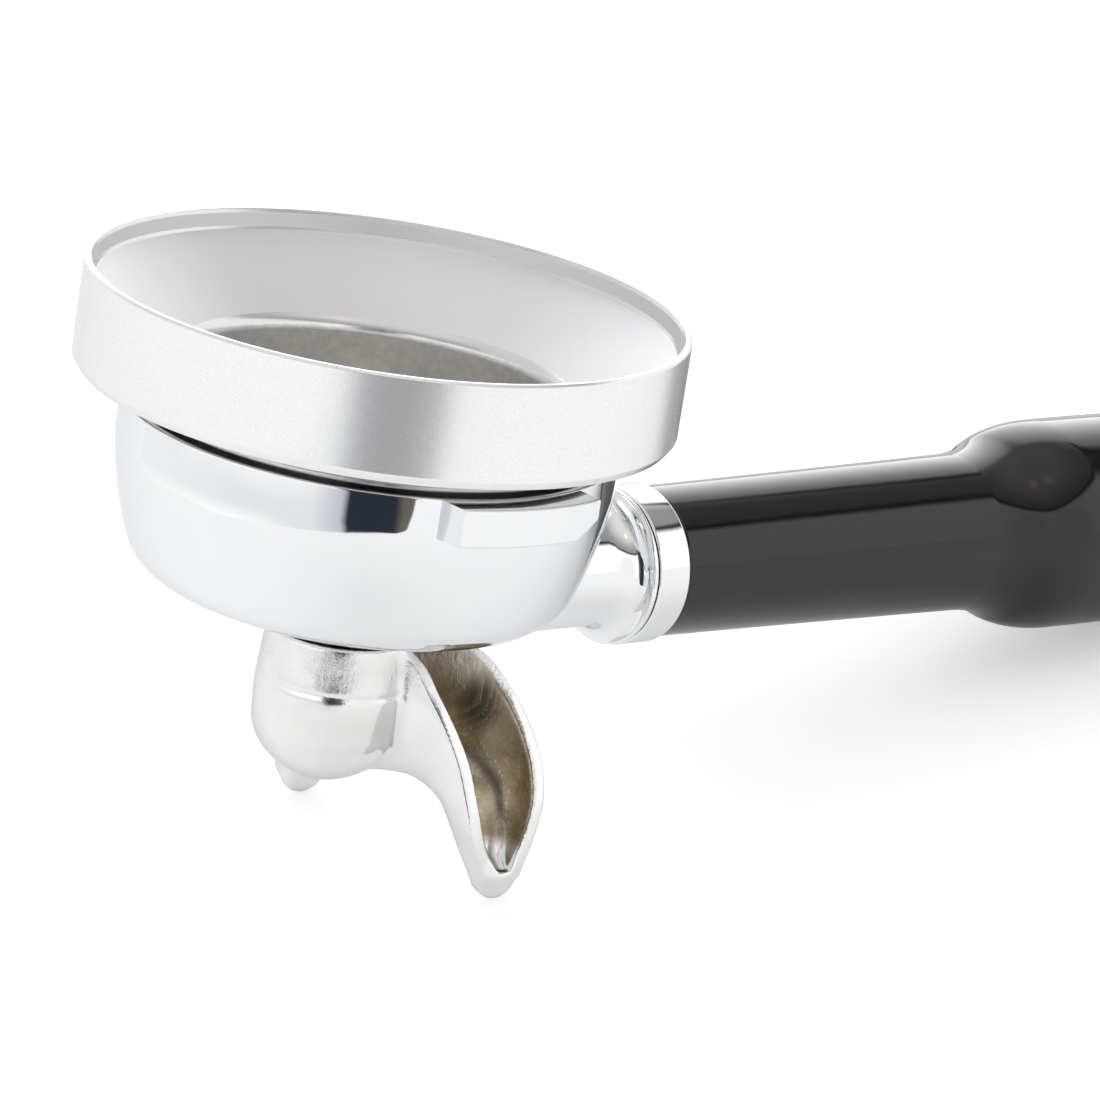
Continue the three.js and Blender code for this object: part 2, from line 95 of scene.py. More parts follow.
SPOUT_TOP, SPOUT_COLLAR = -32, 10.9
ENTRY_RADIUS, ENTRY_END = 8.35, -39.6  # of the spout's hole for the nipple
BULB_RADIUS, BULB_Z, BULB_DEPTH, SPOUT_WALL = 11.4, -46, 9.5, 2.2
COLLAR_EDGE_Z, COLLAR_EDGE = -39.2, 11.3  # the lower border of the raised collar band
SEAL_INNER, SEAL_OUTER = 8.5, 10.2


# ---- placing and building meshes -------------------------------------

def basket_frame():
    """The basket's frame as a matrix, from the axis that the spout turns about."""
    joint = next(j for j in frame["joints"] if j["name"] == "spout_turn")
    axis = Vector(joint["axis"]).normalized()
    origin = Vector(joint["pos_m"]) + axis * SPOUT_JOINT_DEPTH
    return Matrix.Translation(origin) @ Matrix.Rotation(math.atan2(axis.x, axis.z), 4, "Y")


BASKET_FRAME = basket_frame()
HANDLE_AXIS = Matrix.Translation((0, 0, HANDLE_Z)) @ Matrix.Rotation(math.pi / 2, 4, "Y")


def linked(name, data):
    """A new object in the scene."""
    made = bpy.data.objects.new(name, data)
    bpy.context.scene.collection.objects.link(made)
    return made


def finished(mesh, name):
    """The bmesh as an ordinary mesh."""
    made = bpy.data.meshes.new(name)
    mesh.to_mesh(made)
    mesh.free()
    return made


def place(name, mesh, local=Matrix.Identity(4), sharp=32):
    """An object with this mesh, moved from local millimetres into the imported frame."""
    mesh.transform(BASKET_FRAME @ Matrix.Scale(MM, 4) @ local)
    mesh.polygons.foreach_set("use_smooth", [True] * len(mesh.polygons))
    mesh.set_sharp_from_angle(angle=math.radians(sharp))
    mesh.name = name
    return linked(name, mesh)


def even_normals(piece):
    """Keeps flat bands flat beside small rounded edges."""
    modifier = piece.modifiers.new("normals", "WEIGHTED_NORMAL")
    modifier.keep_sharp = True
    modifier.weight = 60
    return piece


def mark(piece, name, domain, values):
    """Keeps a number for each point or face, for the material to read."""
    attribute = piece.data.attributes.new(name, "FLOAT", domain)
    attribute.data.foreach_set("value", np.asarray(values, np.float32))


def bend(start, control, end, steps):
    """Points of a quadratic curve."""
    a, b, c = (np.array(p, float) for p in (start, control, end))
    ts = np.linspace(0, 1, steps + 1)
    return [tuple((1 - t) ** 2 * a + 2 * t * (1 - t) * b + t * t * c) for t in ts]


def arc(centre, radius, start, end, steps):
    """Points of an arc between two angles in degrees."""
    angles = np.radians(np.linspace(start, end, steps + 1))
    return [(centre[0] + radius * math.cos(a), centre[1] + radius * math.sin(a)) for a in angles]


def rounded(corners, steps=4):
    """An outline in which each corner (r, z, radius) becomes a small round."""
    points = []
    count = len(corners)
    for i, corner in enumerate(corners):
        here = Vector(corner[:2])
        radius = corner[2] if len(corner) > 2 else 0
        if radius == 0:
            points.append(tuple(here))
            continue
        back = Vector(corners[i - 1][:2]) - here
        ahead = Vector(corners[(i + 1) % count][:2]) - here
        half = back.angle(ahead) / 2
        reach = min(radius / math.tan(half), 0.45 * back.length, 0.45 * ahead.length)
        start = here + back.normalized() * reach
        end = here + ahead.normalized() * reach
        points += bend(start, here, end, steps)
    return points


def revolved(outline, facets=ROUND):
    """The closed mesh of an outline of (radius, height) turned about Z."""
    mesh = bmesh.new()
    rings = []
    for radius, height in outline:
        if radius < 1e-6:
            rings.append([mesh.verts.new((0, 0, height))])
            continue
        angles = [2 * math.pi * i / facets for i in range(facets)]
        rings.append([
            mesh.verts.new((radius * math.cos(a), radius * math.sin(a), height)) for a in angles])
    pairs = list(zip(rings, rings[1:]))
    if len(rings[0]) > 1:
        pairs.append((rings[-1], rings[0]))
    for lower, upper in pairs:
        for i in range(facets):
            j = (i + 1) % facets
            corners = [lower[i % len(lower)], lower[j % len(lower)],
                       upper[j % len(upper)], upper[i % len(upper)]]
            distinct = list(dict.fromkeys(corners))
            if len(distinct) > 2:
                mesh.faces.new(distinct)
    bmesh.ops.recalc_face_normals(mesh, faces=mesh.faces)
    return finished(mesh, "revolved")


def skinned(rows):
    """The closed mesh through a row of loops with equally many points."""
    mesh = bmesh.new()
    loops = [[mesh.verts.new(p) for p in row] for row in rows]
    for low, high in zip(loops, loops[1:]):
        for i in range(len(low)):
            j = (i + 1) % len(low)
            mesh.faces.new((low[i], low[j], high[j], high[i]))
    for end in (loops[0], loops[-1]):
        mesh.faces.new(end)
    bmesh.ops.recalc_face_normals(mesh, faces=mesh.faces)
    return finished(mesh, "skinned")


def combine(target, other, operation):
    """Joins another object to the target, or cuts it out, and removes the other."""
    modifier = target.modifiers.new("combine", "BOOLEAN")
    modifier.solver = "EXACT"
    modifier.operation = operation
    modifier.object = other
    graph = bpy.context.evaluated_depsgraph_get()
    made = bpy.data.meshes.new_from_object(target.evaluated_get(graph))
    target.modifiers.clear()
    target.data = made
    bpy.data.objects.remove(other)
    return target


# ---- the body --------------------------------------------------------

def cup():
    """The forged cup with its inside, its outlet boss and the nipple that holds the spout."""
    outside = rounded([
        (OUTLET_BORE, NIPPLE_END, 0.3),
        (NIPPLE_RADIUS - 0.5, NIPPLE_END, 0.2),
        (NIPPLE_RADIUS, NIPPLE_END + 0.6, 0.2),
        (NIPPLE_RADIUS, BOSS_Z),
        (BOSS_RADIUS, BOSS_Z, 0.4),
        (BOSS_RADIUS + 1.2, BODY_BOTTOM, 0.8),
        *bend((22.5, BODY_BOTTOM + 0.3), (31.4, -26.7), (33.5, -20.7), 26),
        *bend((33.9, -19.7), (36.6, -12), (BODY_RADIUS, -5), 18),
        (BODY_RADIUS, -2.5),
        (BODY_RADIUS, -0.05, 0.5),
        (BODY_RADIUS - 0.5, 0),
    ])
    inside = rounded([
        (BODY_BORE + 0.6, 0, 0.3),
        (BODY_BORE, -0.7, 0.3),
        (BODY_BORE, GROOVE_Z + GROOVE_HEIGHT / 2, 0.2),
        (GROOVE_RADIUS, GROOVE_Z + GROOVE_HEIGHT / 2, 0.3),
        (GROOVE_RADIUS, GROOVE_Z - GROOVE_HEIGHT / 2, 0.3),
        (BODY_BORE, GROOVE_Z - GROOVE_HEIGHT / 2, 0.2),
        *bend((30.8, CORNER_Z), (30.4, BODY_FLOOR + 0.4), (FLOOR_RADIUS, BODY_FLOOR), 14),
        (OUTLET_BORE, BODY_FLOOR - 0.6, 0.5),
    ])
    return revolved(outside + inside)


def lug():
    """One bayonet lug: a slanted start, rounded edges and a lead-in ramp under its far end."""
    inner = BODY_RADIUS - 1.5  # inside the cup's wall
    span = LUG_END - LUG_START
    steps = 64
    rows = []
    for i in range(steps + 1):
        along = i / steps
        start_slant = LUG_SLANT * (1 - along)
        end_slant = LUG_SLANT / 2 * along
        ramp = max(0, 1 - (1 - along) * span / LUG_RAMP)
        bottom = -LUG_HEIGHT + ramp * LUG_HEIGHT * LUG_RISE
        section = rounded([
            (inner, bottom), (LUG_RADIUS, bottom, 0.6), (LUG_RADIUS, LUG_TOP, 0.45),
            (inner, LUG_TOP)], 3)
        row = []
        for radius, height in section:
            out = max(0, (radius - BODY_RADIUS) / (LUG_RADIUS - BODY_RADIUS))
            degrees = LUG_START + along * span + out * (start_slant - end_slant)
            angle = math.radians(degrees)
            row.append((radius * math.cos(angle), radius * math.sin(angle), height))
        rows.append(row)
    return skinned(rows)


def neck():
    """The round neck, its concave flare and the rim that meets the collar."""
    outline = [
        (0, NECK_START),
        *bend((4, NECK_START + 0.3), (NECK_RADIUS, NECK_START + 1.5), (NECK_RADIUS, 35), 12),
        (NECK_RADIUS, 40), (NECK_RADIUS, 43), (NECK_RADIUS, 45),
        *bend((NECK_RADIUS, 46), (NECK_RADIUS + 0.25, 50), (FLARE_RADIUS - 0.35, 50.35), 20),
        *bend((FLARE_RADIUS - 0.3, 50.36), (FLARE_RADIUS, 50.45), (FLARE_RADIUS, 50.8), 4),
        *bend((FLARE_RADIUS, 51), (FLARE_RADIUS, NECK_END), (FLARE_RADIUS - 0.2, NECK_END), 3),
        (NECK_BORE, NECK_END),
        (NECK_BORE, NECK_BORE_START + 1.5),
        (0, NECK_BORE_START),
    ]
    return revolved(outline, ROUND_HANDLE)


def cup_room():
    """The space inside the cup, a little larger, so that the neck stays out of it."""
    reach, bottom = BODY_BORE + GAP, BODY_FLOOR - GAP
    return revolved([
        (0, bottom),
        (FLOOR_RADIUS, bottom),
        *bend((FLOOR_RADIUS + 0.2, bottom), (30.6, bottom), (31, CORNER_Z), 10),
        (reach, CORNER_Z + 0.5),
        (reach, 0),
        (0, 0),
    ])


def portafilter_body():
    body = place("polished_body", cup())
    arm = place("neck", neck(), HANDLE_AXIS)
    combine(arm, place("cup_room", cup_room()), "DIFFERENCE")
    combine(body, arm, "UNION")
    for turn in (0, math.pi):
        combine(body, place("lug", lug(), Matrix.Rotation(turn, 4, "Z")), "UNION")
    body.data.polygons.foreach_set("use_smooth", [True] * len(body.data.polygons))
    body.data.set_sharp_from_angle(angle=math.radians(24))
    return even_normals(body)


# ---- the basket and the wire that holds it ---------------------------

def hole_centres():
    rows = int(HOLE_FIELD / HOLE_PITCH) + 3
    for i in range(-rows, rows + 1):
        for j in range(-rows, rows + 1):
            x = (i + j / 2) * HOLE_PITCH
            y = j * HOLE_PITCH * math.sqrt(0.75)
            if math.hypot(x, y) <= HOLE_FIELD:
                yield x, y


def sieve(radius):
    """A flat disc with the perforations, as triangles: points and faces."""
    points = []
    edges = []

    def ring(cx, cy, r, count):
        first = len(points)
        for k in range(count):
            angle = 2 * math.pi * k / count
            points.append((cx + r * math.cos(angle), cy + r * math.sin(angle)))
            edges.append((first + k, first + (k + 1) % count))

    ring(0, 0, radius, ROUND)
    centres = list(hole_centres())
    for x, y in centres:
        ring(x, y, HOLE_RADIUS, HOLE_SIDES)
    made = geometry.delaunay_2d_cdt([Vector(p) for p in points], edges, [], 0, 1e-6)
    flat = np.array([tuple(v) for v in made[0]])
    faces = np.array(made[2])
    middles = flat[faces].mean(1)
    nearest = np.full(len(faces), 1e9)
    for centre in centres:
        nearest = np.minimum(nearest, np.hypot(*(middles - centre).T))
    in_metal = nearest > HOLE_RADIUS * 0.98
    return flat, faces[in_metal]


def filter_basket():
    outer = BASKET_INNER + BASKET_WALL
    bottom = -BASKET_DEPTH
    middle = (outer - BASKET_CORNER, bottom + BASKET_CORNER)
    floor_edge = middle[0]
    outline = [
        (floor_edge, bottom),
        *arc(middle, BASKET_CORNER, -90, 0, 12)[1:],
        *rounded([
            (outer, GAP, 0.4), (LIP_RADIUS, GAP, 0.43), (LIP_RADIUS, LIP_TOP, 0.43),
            (BASKET_INNER, LIP_TOP, 0.8), (BASKET_INNER, 0)], 5)[1:],
        *arc(middle, BASKET_CORNER - BASKET_WALL, 0, -90, 10),
    ]
    wall = revolved(outline)
    mesh = bmesh.new()
    mesh.from_mesh(wall)
    flat_ring = [f for f in mesh.faces
                 if all(math.hypot(*v.co.xy) < floor_edge + 0.01 for v in f.verts)]
    bmesh.ops.delete(mesh, geom=flat_ring, context="FACES_ONLY")
    flat, faces = sieve(floor_edge)
    sides = []
    for height, order in ((bottom, -1), (bottom + BASKET_WALL, 1)):
        verts = [mesh.verts.new((x, y, height)) for x, y in flat]
        for face in faces:
            mesh.faces.new([verts[k] for k in face[::order]])
        sides.append(verts)
    bridge_holes(mesh, *sides)
    bmesh.ops.remove_doubles(mesh, verts=mesh.verts, dist=1e-3)
    bmesh.ops.recalc_face_normals(mesh, faces=mesh.faces)
    mesh.to_mesh(wall)
    mesh.free()
    return even_normals(place("steel_basket", wall))


def bridge_holes(mesh, lower, upper):
    """Walls of the perforations, between the two sides of the sieve."""
    for k in range(ROUND, len(lower), HOLE_SIDES):
        for i in range(HOLE_SIDES):
            j = (i + 1) % HOLE_SIDES
            mesh.faces.new((lower[k + i], lower[k + j], upper[k + j], upper[k + i]))


def basket_spring():
    """The open wire ring in the groove of the cup."""
    steps, sides = 220, 14
    rows = []
    for i in range(steps + 1):
        angle = math.radians(SPRING_OPENING + (360 - 2 * SPRING_OPENING) * i / steps)
        row = []
        for k in range(sides):
            turn = 2 * math.pi * k / sides
            radius = SPRING_RADIUS + SPRING_WIRE * math.cos(turn)
            row.append((radius * math.cos(angle), radius * math.sin(angle),
                        GROOVE_Z + SPRING_WIRE * math.sin(turn)))
        rows.append(row)
    return place("spring_wire", skinned(rows))


# ---- the dosing funnel -----------------------------------------------

def funnel_outline():
    spigot = THROAT + SPIGOT_WALL
    return rounded([
        (THROAT, SPIGOT_END, 0.2),
        (spigot - 0.1, SPIGOT_END, 0.25),
        (spigot, FUNNEL_SEAT),
        (LIP_RADIUS + 0.9, FUNNEL_SEAT, 0.15),
        (LIP_RADIUS + 1.4, SKIRT_Z, 0.15),
        (FUNNEL_RADIUS - 3, SKIRT_Z, 0.5),
        (FUNNEL_RADIUS - 0.9, SKIRT_Z + 0.7, 0.6),
        (FUNNEL_RADIUS, SKIRT_Z + 2, 0.6),
        (FUNNEL_RADIUS, FUNNEL_TOP - 0.35, 0.3),
        (FUNNEL_RADIUS - 0.4, FUNNEL_TOP, 0.2),
        (FUNNEL_RADIUS - 1.0, FUNNEL_TOP, 0.25),
        (FUNNEL_RADIUS - 1.35, FUNNEL_TOP - 0.6, 0.3),
        (STEP_RADIUS + 0.2, STEP_Z + 0.3, 0.15),
        (STEP_RADIUS - 0.1, STEP_Z - 0.15, 0.3),
        *bend((THROAT + 1.6, THROAT_TOP + 0.9), (THROAT, THROAT_TOP),
              (THROAT, THROAT_TOP - 1.6), 8),
    ])


def dosing_funnel():
    """The funnel, with its bright cut edges, its spigot's inside and its cone marked."""
    mesh = revolved(funnel_outline())
    middles = np.array([tuple(p.center) for p in mesh.polygons])
    reach, height = np.hypot(middles[:, 0], middles[:, 1]), middles[:, 2]
    rim = height > FUNNEL_TOP - 0.5
    step = (np.abs(height - STEP_Z) < 0.35) & (reach > STEP_RADIUS - 0.6)
    throat = (np.abs(height - THROAT_TOP) < 0.8) & (reach < THROAT + 1.2)
    skirt = (height < SKIRT_Z + 1.8) & (reach > LIP_RADIUS)
    funnel = place("turned_funnel", mesh, sharp=50)
    mark(funnel, "cut", "FACE", rim | step | throat | skirt)
    mark(funnel, "spigot", "FACE", (reach < THROAT + 0.3) & (height < THROAT_TOP - 0.4))
    mark(funnel, "cone", "FACE", (reach < FUNNEL_RADIUS - 1) & (height > THROAT_TOP - 0.4))
    return even_normals(funnel)


# ---- the double spout ------------------------------------------------

# Stations along the near leg: the middle of its rim, the back of the shell, the floor of the
# channel and the shell's half width.
LEG = [
    ((5, -2, -32.2), (3, 0.5, -52.5), (1.5, -0.5, -47), 7),
    ((11.7, -10, -33.2), (8.2, -5, -53.2), (8.5, -5.5, -48.5), 7.2),
    ((15, -15, -38.8), (12.6, -10, -53.3), (12.8, -10.6, -49.4), 8.1),
    ((17, -20, -46), (15.6, -14.4, -55.7), (16, -15.6, -52.4), 8.1),
    ((17.5, -23, -52.8), (16.7, -17, -59.2), (17, -18.6, -56.8), 7.6),
    ((17, -24.6, -59), (16.8, -19.6, -63.2), (16.7, -21.8, -61), 5.9),
    ((16.8, -25.4, -64), (16.8, -21.6, -66.4), (16.6, -25, -63.2), 3.6),
]
TIP_CENTRE, TIP_RADII = (16.9, -23.5, -64.3), (3.5, 2.7, 3.6)
CHAMBER_RADIUS, CHAMBER_FLOOR = 0.92 * (BULB_RADIUS - SPOUT_WALL), BULB_Z - 2
TIP_FILLET, TOP_FILLET, LEG_FILLET, POT_FILLET = 1.2, 0.6, 3, 2.2
CHAMBER_FILLET, ENTRY_FILLET, RIM_ROUND = 1.5, 0.4, 0.5
LINING_END, LINING_FADE = -60.5, 1.5  # the plating covers the channels below this height
LINING_REACH, LINING_BLEND = 0.36, 0.3  # how near a channel bare brass shows, and its soft edge
PAINTED_REFLECTION_CENTRE, PAINTED_REFLECTION_SIZE, PAINTED_REFLECTION_FADE = (18.8, 12.3, -41.5), (5, 3.4, 5.6), 1.5  # a painted dark reflection in each channel
PALER_Z, PALER_FADE = -39.5, 4  # the lining is paler above this height
SCUFF_Z, SCUFF_REACH = -35.6, 5  # the worn zone on the collar band
VOXEL = 0.24
BAND = 17  # voxels either side of a surface in which distances are kept
LEG_ROWS, LEG_SIDES = 60, 48
STEADY_ROW = 48  # the channel's opening keeps its direction from this row on
SHELL_FULLNESS, CHANNEL_FULLNESS = 0.8, 0.85  # 1 is an ellipse, less is squarer
CHANNEL_PROUD, NARROWEST = 3, 1  # how far the cut starts above the rim, its least half width


def smooth_path(values, count):
    """A Catmull-Rom curve through the values, sampled evenly in its parameter."""
    values = np.array(values, float).reshape(len(values), -1)
    padded = np.vstack([2 * values[0] - values[1], values, 2 * values[-1] - values[-2]])
    samples = []
    for u in np.linspace(0, len(values) - 1, count + 1):
        k = min(int(u), len(values) - 2)
        t = u - k
        a, b, c, d = padded[k:k + 4]
        samples.append(0.5 * (2 * b + (c - a) * t + (2 * a - 5 * b + 4 * c - d) * t ** 2
                              + (3 * b - a - 3 * c + d) * t ** 3))
    return np.array(samples)


def half_round(rim, deepest, half, fullness):
    """A loop from one edge of the rim round the deepest point to the other edge."""
    angles = np.linspace(0, math.pi, LEG_SIDES + 1)
    across = -np.sign(np.cos(angles)) * np.abs(np.cos(angles)) ** fullness * half
    down = np.sin(angles) ** fullness
    loop = rim + np.outer(down, deepest - rim)
    loop[:, 0] += across
    return loop


def leg_rows():
    """Loops along one leg's shell, and along its channel, which stands proud of the rim."""
    rim, back, deep, half = (smooth_path([s[k] for s in LEG], LEG_ROWS) for k in range(4))
    shell = [half_round(r, b, h, SHELL_FULLNESS) for r, b, h in zip(rim, back, half[:, 0])]
    channel = []
    for i, (r, d, h) in enumerate(zip(rim, deep, half[:, 0])):
        k = min(i, STEADY_ROW)
        out = (rim[k] - deep[k]) / np.linalg.norm(rim[k] - deep[k])
        channel.append(half_round(
            r + CHANNEL_PROUD * out, d, max(h - SPOUT_WALL, NARROWEST), CHANNEL_FULLNESS))
    return shell, channel


class Field:
    """Signed distances on one grid of voxels round the spout."""

    low = np.array([-14, -30, -72])
    high = np.array([29, 30, -27])

    def __init__(self):
        self.first = np.floor(self.low / VOXEL).astype(int)
        self.count = np.ceil(self.high / VOXEL).astype(int) - self.first
        axes = [(np.arange(n) + f) * VOXEL for n, f in zip(self.count, self.first)]
        self.x, self.y, self.z = np.meshgrid(*axes, indexing="ij")
        self.transform = openvdb.createLinearTransform(voxelSize=VOXEL)

    def of_rows(self, rows):
        """Distance to the closed skin through rows of points."""
        return self.of_mesh(skinned([[tuple(p) for p in row] for row in rows]))

    def of_mesh(self, mesh):
        """Distance to the closed surface of a mesh, which is removed."""
        mesh.calc_loop_triangles()
        points = np.array([v.co for v in mesh.vertices], np.float32)
        triangles = np.array([t.vertices for t in mesh.loop_triangles], np.uint32)
        grid = openvdb.FloatGrid.createLevelSetFromPolygons(
            points, triangles=triangles, transform=self.transform, halfWidth=BAND)
        values = np.zeros(self.count, np.float32)
        grid.copyToArray(values, ijk=tuple(int(v) for v in self.first))
        bpy.data.meshes.remove(mesh)
        return values

    def softened(self, values):
        """The values averaged with their neighbours, which takes the steps out of sharp edges."""
        for axis in range(3):
            values = (np.roll(values, 1, axis) + 2 * values + np.roll(values, -1, axis)) / 4
        return values

    def at(self, values, points):
        """The values at the voxels nearest to the points."""
        cells = np.clip(np.rint(points / VOXEL).astype(int) - self.first, 0, self.count - 1)
        return values[tuple(cells.T)]

    def mesh(self, values):
        """The surface where the values are 0."""
        grid = openvdb.FloatGrid()
        grid.background = float(values.max())
        grid.copyFromArray(values.astype(np.float32), ijk=tuple(int(v) for v in self.first))
        grid.transform = self.transform
        points, quads = grid.convertToQuads(isovalue=0.0)
        made = bpy.data.meshes.new("field")
        made.from_pydata(points.tolist(), [], quads[:, ::-1].tolist())
        made.update()
        return made


def smooth_min(a, b, radius):
    """The nearer of two distances, with a fillet of about this radius where they meet."""
    overlap = np.maximum(radius - np.abs(a - b), 0) / radius
    return np.minimum(a, b) - overlap ** 2 * radius / 4


def smooth_max(a, b, radius):
    return -smooth_min(-a, -b, radius)


def mirrored(values, field):
    """The same distances on the far side of the plane y = 0."""
    shift = 2 * int(field.first[1]) + int(field.count[1]) - 1
    return np.roll(values[:, ::-1, :], -shift, axis=1)


def spout_outside(field, shell_rows):
    """Distance to the outside: two round-tipped legs blended into the pot between them."""
    shell = field.of_rows(shell_rows)
    tip = np.sqrt(sum(((axis - c) / r) ** 2 for axis, c, r in zip(
        (field.x, field.y, field.z), TIP_CENTRE, TIP_RADII)))
    shell = smooth_min(shell, (tip - 1) * min(TIP_RADII), TIP_FILLET)
    shell = smooth_max(shell, field.z - (SPOUT_TOP - 0.2), TOP_FILLET)
    pot = field.of_mesh(revolved(spout_pot()))
    legs = smooth_min(shell, mirrored(shell, field), LEG_FILLET)
    return np.maximum(smooth_min(pot, legs, POT_FILLET), field.z - SPOUT_TOP)


def spout_inside(field, channel_rows):
    """Distance to the inside: the open channels, the chamber they start in and its entry."""
    channel = field.of_rows(channel_rows)
    channels = np.minimum(channel, mirrored(channel, field))
    reach = np.hypot(field.x, field.y)
    chamber = np.maximum(reach - CHAMBER_RADIUS,
                         np.maximum(field.z - ENTRY_END, CHAMBER_FLOOR - field.z))
    entry = np.maximum(reach - ENTRY_RADIUS, ENTRY_END - 1 - field.z)
    return smooth_min(smooth_min(channels, chamber, CHAMBER_FILLET), entry, ENTRY_FILLET)


def faded(values):
    return np.clip(values, 0, 1)


def double_spout():
    """The spout as one skin, with its lining, a painted dark reflection in each channel and its
    worn places marked.
    """
    field = Field()
    shell_rows, channel_rows = leg_rows()
    outside = spout_outside(field, shell_rows)
    inside = spout_inside(field, channel_rows)
    mesh = field.mesh(field.softened(smooth_max(outside, -inside, RIM_ROUND)))
    points = np.array([tuple(v.co) for v in mesh.vertices])
    heights = points[:, 2]
    lining = faded((LINING_REACH - field.at(inside, points)) / LINING_BLEND)
    lining *= faded((heights - LINING_END) / LINING_FADE)
    near_side = points * (1, 0, 1) + np.abs(points) * (0, 1, 0)
    from_painted_reflection = np.linalg.norm((near_side - PAINTED_REFLECTION_CENTRE) / PAINTED_REFLECTION_SIZE, axis=1)
    spout = place("cast_spout", mesh, sharp=180)
    mark(spout, "lining", "POINT", lining)
    # the dark patch in each channel is a painted reflection
    mark(spout, "painted_reflection", "POINT", faded(PAINTED_REFLECTION_FADE * (1 - from_painted_reflection)))
    mark(spout, "paler_above", "POINT", faded((heights - PALER_Z) / PALER_FADE))
    mark(spout, "scuffed", "POINT", faded(1 - np.abs(heights - SCUFF_Z) / SCUFF_REACH))
    relax(spout, 3)
    return spout


def spout_pot():
    """The outline of the middle of the spout: its collar band, the crease and the round bowl."""
    bowl = []
    for quarter in np.linspace(0, math.pi / 2, 28):
        turn = math.sin(quarter)
        width = (BULB_RADIUS - 0.25) * max(0, 1 - turn * turn) ** 0.6
        bowl.append((width, BULB_Z - BULB_DEPTH * turn))
    return [
        (0, SPOUT_TOP), (SPOUT_COLLAR - 0.5, SPOUT_TOP), (SPOUT_COLLAR - 0.1, SPOUT_TOP - 0.4),
        (COLLAR_EDGE, COLLAR_EDGE_Z + 0.5), (COLLAR_EDGE, COLLAR_EDGE_Z),
        (COLLAR_EDGE - 0.3, COLLAR_EDGE_Z - 0.25), (BULB_RADIUS, COLLAR_EDGE_Z - 0.7),
        (BULB_RADIUS, BULB_Z + 4), (BULB_RADIUS - 0.1, BULB_Z + 2),
        *bowl[:-1], (0, BULB_Z - BULB_DEPTH)]


def relax(piece, times):
    modifier = piece.modifiers.new("relax", "SMOOTH")
    modifier.factor = 0.5
    modifier.iterations = times


def spout_seal():
    outline = rounded([
        (SEAL_INNER, SPOUT_TOP + GAP, 0.15), (SEAL_OUTER, SPOUT_TOP + GAP, 0.3),
        (SEAL_OUTER, BOSS_Z - GAP, 0.3), (SEAL_INNER, BOSS_Z - GAP, 0.15)])
    return even_normals(place("sealing_ring", revolved(outline, ROUND_HANDLE)))


# ---- the handle ------------------------------------------------------

def on_handle(name, outline, facets=ROUND_HANDLE, sharp=32):
    return even_normals(place(name, revolved(outline, facets), HANDLE_AXIS, sharp))


def handle_collar():
    start = NECK_END + GAP
    end = start + COLLAR_LENGTH
    return on_handle("chrome_collar", rounded([
        (COLLAR_BORE, start, 0.2), (COLLAR_RADIUS, start, 0.35),
        (COLLAR_RADIUS, end, 0.35), (COLLAR_BORE, end, 0.2)]))


def handle_grip():
    outline = [
        (GRIP_BORE, GRIP_START),
        *bend((10.9, GRIP_START), (11.55, GRIP_START), (11.56, GRIP_START + 0.7), 5),
        (11.75, 76), (11.98, 94), (12.2, 110), (12.33, 118),
        *bend((12.4, 122.5), (12.65, 128), (14.6, 131.6), 16),
        *bend((14.65, 131.7), (16.6, 135.4), (16.7, 141.5), 16),
        (16.72, 146), (16.7, 152), (16.65, 158), (16.45, 163), (16.2, 167.5),
        *arc((9.8, GRIP_END - 6.3), 6.3, 8, 90, 14),
        *bend((9.4, GRIP_END), (POCKET_RADIUS, GRIP_END), (POCKET_RADIUS, GRIP_END - 0.5), 4),
        (POCKET_RADIUS, POCKET_FLOOR),
        (GRIP_BORE, POCKET_FLOOR),
    ]
    return on_handle("moulded_grip", outline)


def end_plug():
    """The cap in the grip's end, a little crowned."""
    rim = POCKET_RADIUS - GAP
    inner = GRIP_END - 6.5
    return on_handle("grip_plug", [
        (0, inner), (rim - 1.2, inner), (rim, inner + 1.5), (rim, GRIP_END - 0.9),
        *bend((rim, GRIP_END - 0.7), (rim, GRIP_END), (rim * 0.85, GRIP_END + 0.25), 6),
        *bend((rim * 0.8, GRIP_END + 0.31), (rim * 0.4, GRIP_END + 0.6), (0, GRIP_END + 0.6), 8),
    ])


def handle_bolt(head_start):
    """A cap-head bolt, its thread as rings, with a round socket in its head."""
    start, end = NECK_BORE_START + 2.5, head_start + HEAD_LENGTH
    socket_floor = end - SOCKET_DEPTH
    thread = []
    for k in range(int(BOLT_THREAD_LENGTH / BOLT_PITCH)):
        crest = start + 1 + k * BOLT_PITCH
        thread += [(BOLT_RADIUS, crest), (BOLT_RADIUS - BOLT_THREAD_DEPTH, crest + BOLT_PITCH / 2)]
    head = rounded([
        (HEAD_RADIUS, head_start, 0.2), (HEAD_RADIUS, end, 0.6),
        (SOCKET_RADIUS, end, 0.3), (SOCKET_RADIUS, socket_floor)])
    return on_handle("through_bolt", [
        (0, start), (BOLT_RADIUS - 0.8, start), *thread, (BOLT_RADIUS, head_start), *head,
        (0, socket_floor)], 64)


def washer_section(start, end, radius, inner_round, outer_round, steps):
    return rounded([
        (WASHER_HOLE, start, inner_round), (radius, start, outer_round),
        (radius, end, outer_round), (WASHER_HOLE, end, inner_round)], steps)


def flat_washer(start):
    end = start + WASHER_THICKNESS
    return on_handle("plain_washer", washer_section(start, end, WASHER_RADIUS, 0.1, 0.25, 4))


def spring_washer(start):
    """A split ring, its ends cut square."""
    section = washer_section(start, start + LOCK_THICKNESS, LOCK_RADIUS, 0.15, 0.2, 2)
    rows = []
    steps = 90
    for i in range(steps + 1):
        angle = math.radians(LOCK_SPLIT + (360 - 2 * LOCK_SPLIT) * i / steps)
        rows.append([(r * math.cos(angle), r * math.sin(angle), z) for r, z in section])
    return place("lock_washer", skinned(rows), HANDLE_AXIS)


# ---- materials -------------------------------------------------------

